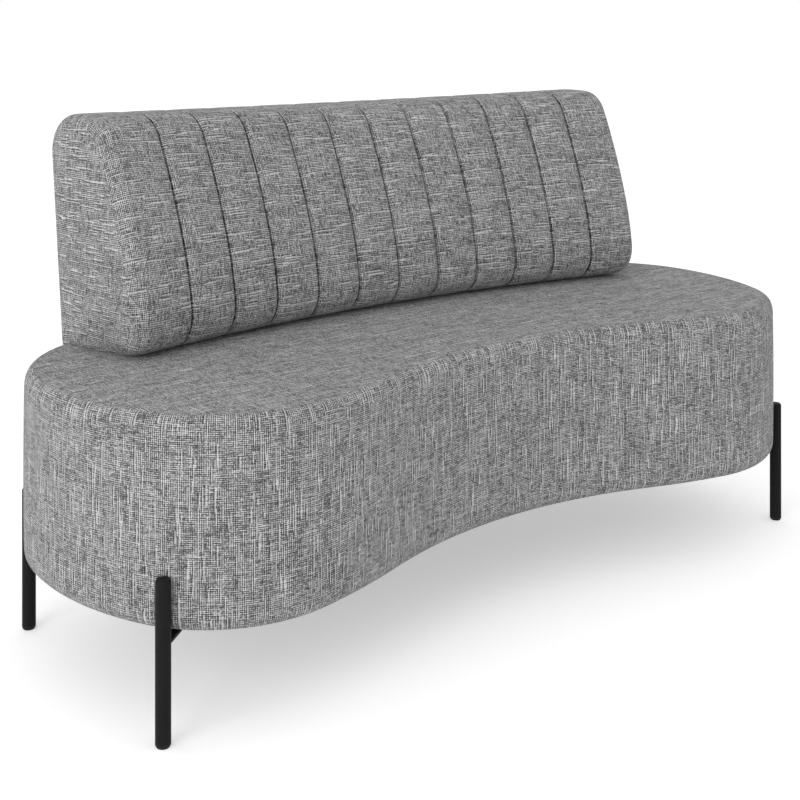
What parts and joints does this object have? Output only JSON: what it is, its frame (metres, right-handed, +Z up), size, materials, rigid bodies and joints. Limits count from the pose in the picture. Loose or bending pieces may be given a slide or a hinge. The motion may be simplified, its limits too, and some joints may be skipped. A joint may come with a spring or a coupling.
{
  "type": "two-seat sofa",
  "caption": "Kidney-shaped upholstered sofa seat with rounded edges, a curved backrest with upright stitched channels, and slim black tube legs standing against the seat's sides.",
  "frame": {"origin": "on the floor, under the middle of the sofa's bounding box", "axes": "+X along the sofa to the right as seen by someone standing in front of it and facing it, +Y from its front to its back, +Z up"},
  "size_m": [1.35, 0.6294, 0.7547],
  "materials": {
    "cover_fabric": "woven melange, matt",
    "black_steel": "satin powder coat",
    "glide_plastic": "moulded, matt",
    "zinc_steel": "zinc plated",
    "foam": "open-cell foam",
    "wadding": "bonded fibre wadding",
    "dust_cloth": "non-woven, matt",
    "webbing": "woven elastic strap",
    "plywood": "raw birch plywood",
    "solid_wood": "raw planed timber"
  },
  "bodies": {
    "root": {"leg_front_left": "black_steel", "leg_front_right": "black_steel", "leg_rear_left": "black_steel", "leg_rear_right": "black_steel", "leg_cap_front_left": "black_steel", "leg_cap_front_right": "black_steel", "leg_cap_rear_left": "black_steel", "leg_cap_rear_right": "black_steel", "foot_front_left": "glide_plastic", "foot_front_right": "glide_plastic", "foot_rear_left": "glide_plastic", "foot_rear_right": "glide_plastic", "leg_plate_front_left": "black_steel", "leg_plate_front_right": "black_steel", "leg_plate_rear_left": "black_steel", "leg_plate_rear_right": "black_steel", "plate_screws": "zinc_steel", "dust_cover": "dust_cloth", "base_board": "plywood", "top_frame": "plywood", "middle_rail": "solid_wood", "seat_post_1": "solid_wood", "seat_post_2": "solid_wood", "seat_post_3": "solid_wood", "seat_post_4": "solid_wood", "seat_post_5": "solid_wood", "seat_post_6": "solid_wood", "side_skin": "plywood", "side_foam": "foam", "webbing_strap_1": "webbing", "webbing_strap_2": "webbing", "webbing_strap_3": "webbing", "webbing_strap_4": "webbing", "webbing_strap_5": "webbing", "webbing_strap_6": "webbing", "webbing_strap_7": "webbing", "webbing_strap_8": "webbing", "seat_foam": "foam", "seat_cover": "cover_fabric", "spacer_block_1": "solid_wood", "spacer_block_2": "solid_wood", "spacer_block_3": "solid_wood", "spacer_block_4": "solid_wood", "back_bolts": "zinc_steel", "back_washers": "zinc_steel", "back_t_nuts": "zinc_steel", "back_bottom_rail": "plywood", "back_top_rail": "plywood", "back_rib_1": "plywood", "back_rib_2": "plywood", "back_rib_3": "plywood", "back_rib_4": "plywood", "back_rib_5": "plywood", "back_front_panel": "plywood", "back_rear_panel": "plywood", "back_foam": "foam", "back_wadding": "wadding", "back_end_pad_left": "foam", "back_end_pad_right": "foam", "back_cover": "cover_fabric"}
  },
  "joints": []
}
